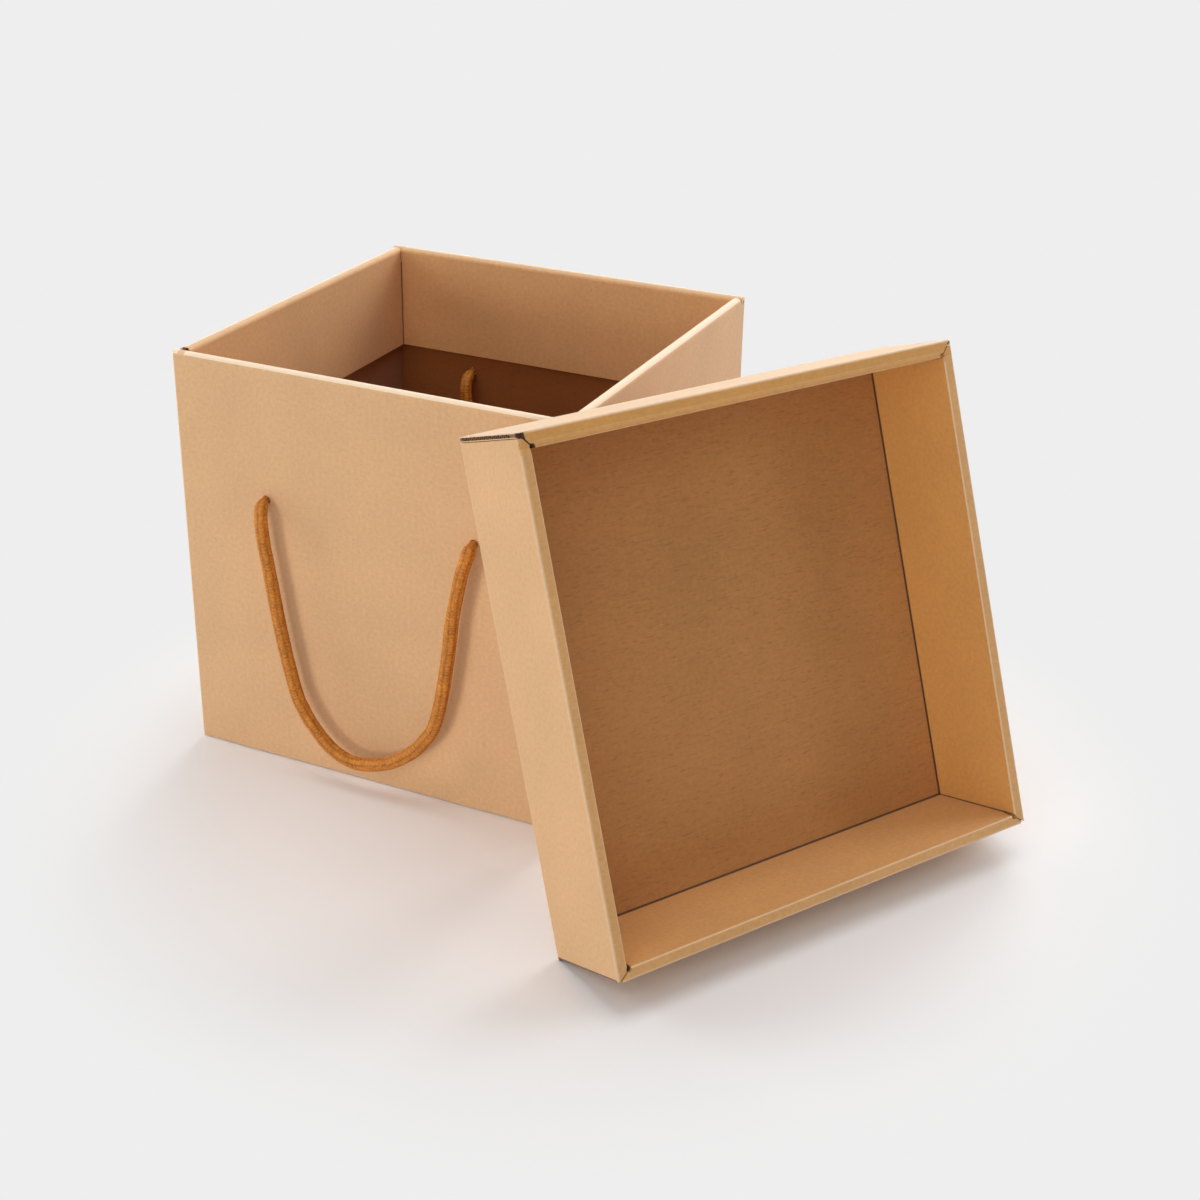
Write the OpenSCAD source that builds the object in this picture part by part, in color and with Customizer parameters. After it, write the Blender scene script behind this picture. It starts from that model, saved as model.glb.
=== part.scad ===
// Carry box of kraft corrugated board with a lift-off lid and two rope handles.
// The lid is off and leans against the box. Millimetres, +Z up, front wall toward -Y.
// The origin is the centre of the box's underside.

/* [Box] */
// Outside width of the box
box_w = 200; // [170:1:260]
// Outside depth of the box
box_d = 200; // [170:1:260]
// Height of the box
box_h = 200; // [190:1:260]
// How far the top of each wall is turned in and down
turn_in = 54; // [40:1:56]
// Outer radius of the vertical creases
crease_r = 1.5; // [0.8:0.1:2]
// Length of the two dust flaps inside the bottom
dust_flap = 70; // [40:1:80]
// Height of the tuck flap inside the back wall
tuck_h = 28; // [15:1:40]
// Width of the glued seam inside the back right corner
glue_tab = 30; // [20:1:40]
// How far the tuck flap stops short of each side wall
tuck_short = 4; // [1:0.5:8]
// Length of the notch at the front end of each side rim
corner_notch = 2.2; // [1:0.1:4]
// Thickness of the crushed lip outside that notch
notch_lip = 1.4; // [1:0.1:2]

/* [Board] */
// Thickness of the corrugated board
board = 2.2; // [1.8:0.1:2.6]
// Space between the two layers of a folded rim
fold_gap = 0.8; // [0.6:0.1:1.2]
// Slit between two cut edges that meet
slit = 0.3; // [0.2:0.05:0.5]
// Distance from one flute of the board to the next
flute_pitch = 3.3; // [2.6:0.1:4]
// Thickness of the paper on each face of the board
liner = 0.4; // [0.3:0.05:0.6]
// How deep the flutes are open at a cut end
flute_deep = 1.6; // [0.6:0.1:3]

/* [Lid] */
// Play between the box and the lid's rim, on each side
lid_play = 4; // [3:0.5:6]
// Outside height of the lid's walls
lid_h = 48; // [35:1:60]
// Width of the rim strip on the left, right and bottom walls
lid_rim = 5; // [5:0.1:7]
// Width of the rim strip on the top wall
lid_top_rim = 7; // [5:0.1:8]
// How far the foot of the bottom inner panel stands in from its rim
bottom_lean = 4.4; // [1:0.1:4.8]
// How far the feet of the side inner panels stand in from their rims
side_lean = 3; // [1:0.1:3.4]
// Outer radius of the lid's creases
lid_crease_r = 0.8; // [0.4:0.1:1.2]
// Diameter of the relief hole where two rim strips meet
relief_d = 2.6; // [1.5:0.1:3]
// How far the end of the top rim strip stays back from the lid's corner
mitre_gap = 2.9; // [1.5:0.1:4]

/* [Leaning lid] */
// Direction of the lid's bottom edge on the floor, in degrees from the front of the box
lid_heading = 58; // [50:1:66]
// Length of the lid's bottom edge that lies left of the corner it leans on
lid_left = 52; // [35:1:80]
// Distance on the floor from the lid's bottom edge to that corner
lid_foot_out = 75; // [60:1:90]
// Clear distance between the lid and the corner
rest_clear = 0.3; // [0.1:0.1:0.5]

/* [Rope handles] */
// Diameter of the knitted rope
rope_d = 6.5; // [5:0.1:7]
// Diameter of the rope where a hole squeezes it
rope_squeezed_d = 3.8; // [3.4:0.1:3.8]
// Diameter of the rope holes
rope_hole_d = 4.2; // [4.2:0.1:8]
// Distance between the two holes of a handle
rope_hole_span = 107; // [106.9:0.1:107.1]
// Height of the rope holes above the floor
rope_hole_z = 136; // [135.9:0.1:136.1]
// Diameter of the knots
knot_d = 14; // [11:1:16]
// Height of the knots
knot_h = 13; // [9:1:14]
// Length of the rope's tail under a knot
tail = 10; // [6:1:16]

/* [Hidden] */
$fn = 48;
arc_steps = 8;
// Corners with a smaller radius than this stay sharp
least_r = 0.06;
// Facets round the rope, and a direction that the rope never runs in
rope_sides = 10;
rope_across = [1, 0.3, 0];
rim_w = 2 * board + fold_gap;
// Width of the flat left between the rim's two folds, and the folds' outer radius
rim_flat = 0.1;
rim_r = (rim_w - rim_flat) / 2;
// How far the rim's own pieces reach down from the top
fold_run = 0.6;
rim_cap = rim_r + fold_run;
flap_clear = 0.6;
bottom_fold_r = 2;
// How far the glued seam stops above the dust flaps and below the turned-in flaps
seam_foot = 8;
seam_top = 2;
// Depth by which pieces of one board run into each other
bond = 0.2;
lid_size_x = box_w + 2 * (lid_play + lid_rim);
lid_size_y = box_d + 2 * (lid_play + lid_rim);
// Gap between the foot of a lid's inner panel and its plate
foot_gap = 0.4;
top_lean = 0.6;
// How far the lid's side walls stop short of its bottom edge
wall_foot = 0.8;
// Width and depth of the slit between two rim strips of the lid
mitre_w = 0.7;
mitre_deep = 1.6;
// Cuts run past the faces they open by this much
past = 0.5;
// Place of the relief hole from the inner corner of the rim, and its depth
relief_in = 0.6;
relief_back = 0.7;
relief_deep = 6;
// Fluting paper left between two open flutes, along the cut end
flute_web = 0.45;
// Open flutes at the front end of a side rim: their width, height and depth below the top
end_flutes = [2.8, 1.9, 0.7];
// How far the lip outside a notch stays below the rim's top
lip_drop = 0.3;
// Reach of a hole's squeeze along the rope, and the share of it that is squeezed all the way
squeeze_reach = 7;
squeeze_full = 0.6;
// How far the rounded corner of the box lies behind the sharp one, toward the lid
corner_round = crease_r / 2;
// Height at which the lid meets the box: the box's top, or the lid's far edge below a taller box's top
rest_h = min(box_h, sqrt(pow(lid_size_y, 2) - pow(lid_foot_out, 2)));
lean_0 = atan(lid_foot_out / rest_h);
lid_drop = lid_crease_r * (cos(lean_0) + sin(lean_0) - 1);
lid_lean = atan(lid_foot_out / (rest_h + lid_drop))
    + asin((corner_round - rest_clear) / norm([lid_foot_out, rest_h]));

// Route of the front rope's centreline, from the left knot up, out, round the loop, in and down
rope_route = [
    [-54.5, -87.4, 109], [-54.5, -87.4, 117], [-54.3, -87.4, 127], [-54, -88.1, 130.4], [-53.8, -90, 133.4],
    [-53.6, -93, 135.3], [-53.5, -96.4, 136], [-53.5, -98.9, 136], [-53.4, -101.4, 136],
    [-52.6, -104.8, 135.3], [-51.3, -107.8, 133.4], [-50.2, -109.7, 130.4], [-49.5, -110.4, 127],
    [-49.1, -110.4, 121], [-48.2, -110.3, 114], [-47.1, -110.3, 106.9], [-43.7, -110.3, 83.7],
    [-40.5, -110.3, 65.2], [-36.1, -110.2, 45.6], [-32.9, -110.2, 37.9], [-28.4, -110.1, 30.4],
    [-19.1, -110, 20.3], [-7.8, -110, 15.4], [3.8, -110, 16.7], [15.1, -110, 21.3], [26.5, -110, 30.3],
    [32.5, -110.1, 37.7], [37.3, -110.1, 45.5], [41.8, -110.2, 62.2], [45.5, -110.3, 83.2],
    [47.9, -110.3, 101.7], [51.2, -110.4, 118], [53.4, -110.4, 127], [54.3, -109.7, 130.4],
    [54.5, -107.8, 133.4], [54.1, -104.8, 135.3], [53.6, -101.4, 136], [53.5, -98.9, 136],
    [53.5, -96.4, 136], [53.4, -93, 135.3], [53.2, -90, 133.4], [52.9, -88.1, 130.4], [52.5, -87.4, 127],
    [51.4, -87.4, 117], [51.4, -87.4, 109]];

function unit(v) = v / norm(v);
function left_of(v) = [-v[1], v[0]];
function flat(p) = [p[0], p[1]];

// Direction of a path p into and out of its corner i
function heading_in(p, i) = unit(flat(p[max(i, 1)]) - flat(p[max(i, 1) - 1]));
function heading_out(p, i) = let (k = min(i, len(p) - 2)) unit(flat(p[k + 1]) - flat(p[k]));

// Corner i of a path p, moved sideways by s
function moved(p, i, s) = let (a = heading_in(p, i), b = heading_out(p, i))
    flat(p[i]) + s * (left_of(a) + left_of(b)) / (1 + a * b);

// Corner i of a line q rounded by radius r, as the points of its arc
function arc(q, i, r) = i == 0 || i == len(q) - 1 || r <= least_r ? [q[i]] :
    let (a = unit(q[i - 1] - q[i]), b = unit(q[i + 1] - q[i]), half = acos(a * b) / 2,
         c = q[i] + unit(a + b) * r / sin(half), u = q[i] + a * r / tan(half) - c,
         v = q[i] + b * r / tan(half) - c, w = 180 - 2 * half)
    [for (k = [0:arc_steps]) c + (sin(w * (1 - k / arc_steps)) * u + sin(w * k / arc_steps) * v) / sin(w)];

// Radius of one side of the board at corner i, whose outer radius is the corner's third number
function side_r(p, i, side) =
    let (a = heading_in(p, i), b = heading_out(p, i), turn = a[0] * b[1] - a[1] * b[0])
    len(p[i]) < 3 ? 0 : side * turn > 0 ? max(p[i][2] - board, 0) : p[i][2];

// One face of the board along a path p: side is 1 for its left face and -1 for its right face
function side_line(p, side) = let (q = [for (i = [0:len(p) - 1]) moved(p, i, side * board / 2)])
    [for (i = [0:len(p) - 1]) each arc(q, i, side_r(p, i, side))];

function turned_round(q) = [for (i = [len(q) - 1:-1:0]) q[i]];

// Section of one folded board along the path p through the middle of its thickness
module board_section(p) {
    polygon(concat(side_line(p, 1), turned_round(side_line(p, -1))));
}

// Folded board with its section across Y and Z, run along X from x0 to x1
module run_x(p, x0, x1) {
    translate([x0, 0, 0]) rotate([90, 0, 90]) linear_extrude(x1 - x0) board_section(p);
}

// Folded board with its section across X and Z, run along Y from y0 to y1
module run_y(p, y0, y1) {
    translate([0, y1, 0]) rotate([90, 0, 0]) linear_extrude(y1 - y0) board_section(p);
}

// Rectangle with its middle at the origin and its corners rounded by r
module rounded_square(w, d, r) {
    polygon([for (c = [[1, 1, 0], [-1, 1, 90], [-1, -1, 180], [1, -1, 270]], k = [0:arc_steps])
        let (a = c[2] + 90 * k / arc_steps)
        [c[0] * (w / 2 - r), c[1] * (d / 2 - r)] + r * [cos(a), sin(a)]]);
}

// Section of a turned-in rim, set against a wall at the given place: its outer leg, its fold and
// its inner leg of the given depth
function rim_path(wall, depth) =
    let (outer = wall + board / 2, inner = wall + rim_w - board / 2, z = box_h - board / 2)
    [[outer, box_h - rim_cap], [outer, z, rim_r], [inner, z, rim_r], [inner, box_h - depth]];

// Rim and flap of the front wall: the rim runs the whole width, the flap stops short of the side walls
module front_rim() {
    reach = box_w / 2 - board - slit;
    run_x(rim_path(-box_d / 2, turn_in), -reach, reach);
    run_x(rim_path(-box_d / 2, rim_cap), -box_w / 2, -reach);
    run_x(rim_path(-box_d / 2, rim_cap), reach, box_w / 2);
}

// Rim and flap of the left wall, between those of the front and back walls
module left_rim() {
    front_end = -box_d / 2 + rim_w + corner_notch;
    back_end = box_d / 2 - rim_w - flap_clear;
    run_y(rim_path(-box_w / 2, turn_in), front_end, back_end);
    run_y(rim_path(-box_w / 2, rim_cap), back_end, box_d / 2 - rim_w - slit);
    flap_start = -box_d / 2 + rim_w + flap_clear;
    translate([-box_w / 2 + rim_w - board, flap_start, box_h - turn_in])
        cube([board, front_end - flap_start, turn_in - rim_cap]);
    intersection() {
        run_y(rim_path(-box_w / 2, rim_cap), -box_d / 2 + rim_w, front_end);
        translate([-box_w / 2, -box_d / 2, 0]) cube([notch_lip, box_d, box_h - lip_drop]);
    }
}

// Open flutes at the front end of the left rim, behind the notch
module rim_end_flutes() {
    translate([-box_w / 2 + (rim_w - end_flutes[0]) / 2, -box_d / 2 + rim_w + corner_notch - past,
               box_h - end_flutes[1] - end_flutes[2]])
        cube([end_flutes[0], past + flute_deep, end_flutes[1]]);
}

// Outer panels of the walls above the bottom, with creased corners
module wall_ring() {
    z0 = board + slit;
    translate([0, 0, z0]) linear_extrude(box_h - rim_cap - z0) difference() {
        rounded_square(box_w, box_d, crease_r);
        square([box_w - 2 * board, box_d - 2 * board], center = true);
    }
}

// Bottom panel, creased to the front wall and tucked up inside the back wall, over two dust flaps
module bottom() {
    tuck_y = box_d / 2 - board - slit;
    translate([-box_w / 2 + slit, -box_d / 2, 0]) cube([box_w - 2 * slit, tuck_y + box_d / 2, board]);
    translate([-box_w / 2 + slit, -box_d / 2, 0]) cube([box_w - 2 * slit, board, 2 * board]);
    translate([-box_w / 2 + slit, box_d / 2 - board, 0]) cube([box_w - 2 * slit, board, 2 * board]);
    tuck_half = box_w / 2 - board - tuck_short;
    translate([-tuck_half, tuck_y - board, 0]) cube([2 * tuck_half, board, tuck_h]);
    for (side = [0, 1]) mirror([side, 0, 0])
        translate([-box_w / 2 + slit, -box_d / 2 + board + flap_clear, board + slit])
            cube([dust_flap, tuck_y - board - flap_clear + box_d / 2 - board - flap_clear, board]);
}

// Glued seam: a tab of the back wall on the inner face of the right wall
module glue_seam() {
    z0 = 2 * board + seam_foot;
    z1 = box_h - turn_in - seam_top;
    translate([box_w / 2 - 2 * board, box_d / 2 - board - glue_tab, z0])
        cube([board + bond, glue_tab + bond, z1 - z0]);
}

// Holes for both ropes, through the front and the back wall
module rope_holes() {
    for (x = [-rope_hole_span / 2, rope_hole_span / 2])
        translate([x, box_d, rope_hole_z]) rotate([90, 0, 0]) cylinder(d = rope_hole_d, h = 2 * box_d);
}

// The whole box, folded from one board
module box_body() {
    color([0.82, 0.65, 0.49]) difference() {
        intersection() {
            union() {
                wall_ring();
                for (side = [0, 1]) mirror([0, side, 0]) front_rim();
                for (side = [0, 1]) mirror([side, 0, 0]) left_rim();
                bottom();
                glue_seam();
            }
            linear_extrude(box_h) rounded_square(box_w, box_d, crease_r);
            translate([-box_w / 2, 0, 0]) rotate([90, 0, 90]) linear_extrude(box_w) side_outline();
        }
        rope_holes();
        for (side = [0, 1]) mirror([side, 0, 0]) rim_end_flutes();
    }
}

// Side view of the box's outside, with the fold between the front wall and the bottom
module side_outline() {
    r = bottom_fold_r;
    fold = [for (k = [0:arc_steps])
        let (a = 90 * k / arc_steps) [-box_d / 2 + r - r * sin(a), r - r * cos(a)]];
    polygon(concat(fold, [[-box_d / 2, box_h], [box_d / 2, box_h], [box_d / 2, 0]]));
}

// Section of a lid wall: outer panel, rim strip, inner panel whose foot stands in by lean
function lid_path(rim, lean) = [[board / 2, 0], [board / 2, lid_h - board / 2, lid_crease_r],
                                [rim - board / 2, lid_h - board / 2, lid_crease_r],
                                [rim + lean - board / 2, board + foot_gap]];

// Side walls of the lid as it lies with its plate down: x along the bottom wall, y toward the top wall
module lid_side_walls() {
    y1 = lid_size_y - board - slit;
    for (side = [0, 1]) translate([side * lid_size_x, 0, 0]) mirror([side, 0, 0])
        run_y(lid_path(lid_rim, side_lean), wall_foot, y1);
}

// The bottom wall stands between the side walls, and the top wall's outer panel covers their ends
module lid_end_walls() {
    x0 = board + slit / 2;
    x1 = lid_size_x - x0;
    run_x(lid_path(lid_rim, bottom_lean), x0, x1);
    translate([0, lid_size_y, 0]) mirror([0, 1, 0]) {
        run_x(lid_path(lid_top_rim, top_lean), x0, x1);
        for (side = [0, 1]) translate([side * lid_size_x, 0, 0]) mirror([side, 0, 0])
            cube([x0 + bond, board, lid_h]);
    }
}

// Outline of the lid across one pair of walls, with the creases along its edges
module crease_envelope(size) {
    translate([size / 2, lid_h / 2]) rounded_square(size, lid_h, lid_crease_r);
}

// Joint between two rim strips: a slit from the lid's corner to a relief hole at its inner end
module rim_joint(rim_x, rim_y) {
    hole = [rim_x + relief_in, rim_y - relief_back];
    translate([0, 0, lid_h - mitre_deep]) linear_extrude(mitre_deep + past)
        rotate(atan2(hole[1], hole[0]))
            translate([-past, -mitre_w / 2]) square([past + norm(hole), mitre_w]);
    translate([hole[0], hole[1], lid_h - relief_deep]) cylinder(d = relief_d, h = relief_deep + past);
}

// Gap before the left end of the top rim strip, down between the liners of the top wall's outer panel
module top_rim_gap() {
    inner_end = mitre_gap + liner;
    translate([0, 0, lid_h - mitre_deep]) linear_extrude(mitre_deep + past)
        polygon([[-past, liner], [mitre_gap, liner], [inner_end, inner_end], [-past, board - liner]]);
}

// Open flutes in the cut end of the top wall's outer panel: two rows of triangles, point to point
module wall_end_flutes() {
    base = flute_pitch - 2 * flute_web;
    count = floor((lid_h - 3 * board) / flute_pitch);
    translate([-past, 0, board]) rotate([90, 0, 90]) linear_extrude(flute_deep + past)
        for (k = [0:count - 1]) translate([0, k * flute_pitch]) {
            polygon([[liner, 0], [board - liner, base / 2], [liner, base]]);
            translate([0, flute_pitch / 2])
                polygon([[board - liner, 0], [board - liner, base], [liner, base / 2]]);
        }
}

// The whole lid, folded from one board
module flat_lid() {
    difference() {
        intersection() {
            union() {
                cube([lid_size_x, lid_size_y, board]);
                lid_side_walls();
                lid_end_walls();
            }
            translate([0, lid_size_y, 0]) rotate([90, 0, 0])
                linear_extrude(lid_size_y) crease_envelope(lid_size_x);
            rotate([90, 0, 90]) linear_extrude(lid_size_x) crease_envelope(lid_size_y);
        }
        for (side = [0, 1]) translate([side * lid_size_x, 0, 0]) mirror([side, 0, 0]) {
            rim_joint(lid_rim, lid_rim);
            translate([0, lid_size_y, 0]) mirror([0, 1, 0]) {
                rim_joint(lid_rim, lid_top_rim);
                wall_end_flutes();
            }
        }
        translate([0, lid_size_y, 0]) mirror([0, 1, 0]) top_rim_gap();
    }
}

// The lid stood on its bottom edge and leaned back against the box's front right corner
module lid() {
    color([0.78, 0.6, 0.42]) translate([box_w / 2, -box_d / 2, -lid_drop]) rotate([0, 0, lid_heading])
        translate([-lid_left, -lid_foot_out, 0]) rotate([90 - lid_lean, 0, 0]) flat_lid();
}

// Radius of the rope at point i of its route, less where a hole squeezes it
function rope_r(i) = let (p = rope_route[i],
    far = norm([abs(p[0]) - rope_hole_span / 2, p[1] + (box_d - board) / 2, p[2] - rope_hole_z]),
    share = min(1, max(0, 1 - far / squeeze_reach) / squeeze_full))
    (rope_d - (rope_d - rope_squeezed_d) * share) / 2;

// Smooth tube of the rope along its route, a ring of points at each point of the route
function rope_heading(i) = let (last = len(rope_route) - 1)
    unit(rope_route[min(i + 1, last)] - rope_route[max(i - 1, 0)]);
function ring(i) = let (t = rope_heading(i), u = unit(cross(t, rope_across)), v = cross(t, u))
    [for (k = [0:rope_sides - 1]) rope_route[i]
        + rope_r(i) * (cos(360 * k / rope_sides) * u + sin(360 * k / rope_sides) * v)];

module rope() {
    n = len(rope_route);
    polyhedron(
        points = [for (i = [0:n - 1]) each ring(i)],
        faces = concat(
            [[for (k = [0:rope_sides - 1]) k]],
            [for (i = [0:n - 2], k = [0:rope_sides - 1])
                let (a = i * rope_sides + k, b = i * rope_sides + (k + 1) % rope_sides)
                [a, a + rope_sides, b + rope_sides, b]],
            [[for (k = [rope_sides - 1:-1:0]) (n - 1) * rope_sides + k]]));
}

// Knot under the end of a rope: a round bulb with the rope's tail below it
module knot(end) {
    translate([end[0], end[1], end[2] - knot_h]) rotate_extrude() polygon(concat(
        [[0, -tail], [rope_d / 2, -tail], [rope_d / 2, 0]],
        [for (k = [1:arc_steps - 1]) let (a = 180 * k / arc_steps)
            [rope_d / 2 + (knot_d - rope_d) / 2 * sin(a), knot_h * (1 - cos(a)) / 2]],
        [[rope_d / 2, knot_h], [0, knot_h]]));
}

module rope_colour() {
    color([0.75, 0.48, 0.16]) children();
}

// The back handle is the front one turned half round
module at_back() {
    rotate([0, 0, 180]) children();
}

module front_rope_handle() {
    rope_colour() rope();
}

module back_rope_handle() {
    rope_colour() at_back() rope();
}

module front_left_knot() {
    rope_colour() knot(rope_route[0]);
}

module front_right_knot() {
    rope_colour() knot(rope_route[len(rope_route) - 1]);
}

module back_left_knot() {
    rope_colour() at_back() knot(rope_route[len(rope_route) - 1]);
}

module back_right_knot() {
    rope_colour() at_back() knot(rope_route[0]);
}

box_body();
lid();
front_rope_handle();
back_rope_handle();
front_left_knot();
front_right_knot();
back_left_knot();
back_right_knot();
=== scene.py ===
"""Open carry box of kraft corrugated board, with rope handles and its lid leaning on one corner.

Laid out as a Blender add-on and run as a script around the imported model. Metres, +Z up, the front
wall toward -Y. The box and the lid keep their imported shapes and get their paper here. The two rope
handles and their four knots are knitted surfaces in place of the plain packed ones.
"""

import math

import bpy
import numpy as np
from mathutils import Matrix, Vector


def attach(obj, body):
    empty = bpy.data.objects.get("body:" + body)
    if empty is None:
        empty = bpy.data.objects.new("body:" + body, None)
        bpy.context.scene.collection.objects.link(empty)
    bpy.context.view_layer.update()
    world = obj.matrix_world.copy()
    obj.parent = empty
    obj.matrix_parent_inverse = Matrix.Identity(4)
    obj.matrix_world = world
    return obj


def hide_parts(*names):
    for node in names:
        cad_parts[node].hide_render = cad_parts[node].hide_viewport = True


bl_info = {
    "name": "Open carry box",
    "version": (1, 0, 0),
    "blender": (4, 5, 0),
    "location": "View3D > Sidebar > Carry Box",
    "description": "Kraft board, knitted rope handles and stage of an open carry box with its lid",
    "category": "Object",
}

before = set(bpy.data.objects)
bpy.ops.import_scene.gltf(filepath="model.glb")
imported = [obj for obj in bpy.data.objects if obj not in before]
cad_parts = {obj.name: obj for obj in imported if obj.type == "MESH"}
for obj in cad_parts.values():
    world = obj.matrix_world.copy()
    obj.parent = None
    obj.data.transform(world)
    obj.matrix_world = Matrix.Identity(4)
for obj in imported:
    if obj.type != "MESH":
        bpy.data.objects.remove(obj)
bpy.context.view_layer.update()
MM = 0.001

# Route of the front rope's centreline in millimetres, as in the part's source: from the left knot
# up, out through the hole, round the loop and back in to the right knot.
ROPE_ROUTE = [
    (-54.5, -87.4, 109), (-54.5, -87.4, 117), (-54.3, -87.4, 127), (-54, -88.1, 130.4), (-53.8, -90, 133.4),
    (-53.6, -93, 135.3), (-53.5, -96.4, 136), (-53.5, -98.9, 136), (-53.4, -101.4, 136),
    (-52.6, -104.8, 135.3), (-51.3, -107.8, 133.4), (-50.2, -109.7, 130.4), (-49.5, -110.4, 127),
    (-49.1, -110.4, 121), (-48.2, -110.3, 114), (-47.1, -110.3, 106.9), (-43.7, -110.3, 83.7),
    (-40.5, -110.3, 65.2), (-36.1, -110.2, 45.6), (-32.9, -110.2, 37.9), (-28.4, -110.1, 30.4),
    (-19.1, -110, 20.3), (-7.8, -110, 15.4), (3.8, -110, 16.7), (15.1, -110, 21.3), (26.5, -110, 30.3),
    (32.5, -110.1, 37.7), (37.3, -110.1, 45.5), (41.8, -110.2, 62.2), (45.5, -110.3, 83.2),
    (47.9, -110.3, 101.7), (51.2, -110.4, 118), (53.4, -110.4, 127), (54.3, -109.7, 130.4),
    (54.5, -107.8, 133.4), (54.1, -104.8, 135.3), (53.6, -101.4, 136), (53.5, -98.9, 136),
    (53.5, -96.4, 136), (53.4, -93, 135.3), (53.2, -90, 133.4), (52.9, -88.1, 130.4), (52.5, -87.4, 127),
    (51.4, -87.4, 117), (51.4, -87.4, 109),
]

# The exit of each rope is the middle of its left hole, in millimetres. Each hole squeezes the rope
# to the smaller diameter: the squeeze sets in at the reach and grows over the ramp, which is a
# share of the reach.
ROPE_EXIT = (-53.5, -98.9, 136.0)
SQUEEZED_D = 3.8
SQUEEZE_REACH = 7.0
SQUEEZE_RAMP = 0.6

# How finely a rope is drawn: points round it and along it, steps between two points of its route,
# points over which its line is smoothed, and steps between the points of its declared path.
ROPE_SIDES = 72
ROPE_RINGS = 1300
CURVE_STEPS = 24
SOFTEN_REACH = 9

# Stitches: how far a rib bows over the width of a wale and how much further on the next wale's ribs
# start, both in stitches, the power that flattens a wale's crown, and the depth of the ribs as a
# share of the relief.
RIB_BOW = 0.6
WALE_SHIFT = 0.37
CROWN_POWER = 0.35
RIB_DEPTH = 0.5

# Sizes of a knot in millimetres, its rings of points and its strands, and how deep the grooves
# between the strands are as a share of the bulb. The tail's end draws in at this taper, in
# millimetres for its whole width, to this share of its width.
KNOT_HEIGHT = 13.0
KNOT_WIDTH = 14.0
KNOT_TAIL = 10.0
KNOT_RINGS = 120
KNOT_STRANDS = 3
STRAND_DEPTH = 0.28
TAIL_TAPER = 1.2
TAIL_END = 0.55

# How the lid stands: its local x runs along its bottom edge, y up its plate and z out of its open
# side. Its corner is in millimetres.
LID_CORNER = (136.048, -183.842, -0.230)
LID_HEADING = math.radians(58.0)
LID_LEAN = math.radians(20.655)

# Outside sizes in millimetres of the box and of the lid in its own directions, and the widths of
# their folded rims.
BOX_SIZE = (200.0, 200.0, 200.0)
LID_SIZE = (218.0, 218.0, 48.0)
BOX_RIM = 5.2
LID_RIM = 5.0

# The board's thickness, the height of the foot of the box's turned-in flaps, and how far the lid's
# turned-in panels lean inward at their feet, on the side walls and on the bottom wall.
BOARD = 2.2
FLAP_FOOT = 146.0
SIDE_LEAN = 3.0
BOTTOM_LEAN = 4.4

# Strength of the dark places (flute ends and painted shade), share of a fold's painted highlight
# that painted shade takes back in the plain places, share of the turned-in panels' shaded colour
# painted on the lid's side and bottom rims, and the painted sheen on its top wall.
DARK_AND_SHADE_STRENGTH = 0.9
SHADED_FOLD_LOSS = 0.85
STRIP_PAINTED_SHADE = 0.55
TOP_WALL_PAINTED_SHEEN = 0.3

# The photograph's view: the camera's place in metres, its angles and its shift.
CAMERA_PLACE = (0.4084, -0.7494, 0.47527)
CAMERA_YAW = math.radians(24.408)
CAMERA_PITCH = math.radians(24.856)
CAMERA_ROLL = math.radians(-1.043)
CAMERA_SHIFT = -0.04

# Each lamp's name, width and place in metres and the setting with its power, and the point that all
# lamps face.
LAMPS = (
    ("Key softbox", 0.45, (-0.26, -1.85, 0.25), "key_power"),
    ("Front softbox", 1.2, (0.2, -1.7, 1.1), "front_power"),
    ("Left softbox", 0.9, (-1.5, -0.35, 0.8), "left_power"),
    ("Right softbox", 0.9, (1.3, 0.88, 0.7), "right_power"),
    ("Back softbox", 1.0, (0.0, 1.5, 1.2), "back_power"),
    ("Top softbox", 1.2, (0.0, 0.1, 1.5), "top_power"),
)
LAMP_AIM = (0.05, 0.0, 0.1)

# Half the floor's width, and the middle, the start and the end of the floor's change to the plain
# backdrop, in metres.
FLOOR_HALF = 6.0
FADE_MIDDLE = (0.09, -0.05, 0.0)
FADE_START = 0.17
FADE_END = 0.28


def both_sides(low, high, width):
    """A box, as its low and high corners, and its mirror image across a board's width."""
    return [(low, high), ((width - high[0],) + low[1:], (width - low[0],) + high[1:])]
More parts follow.
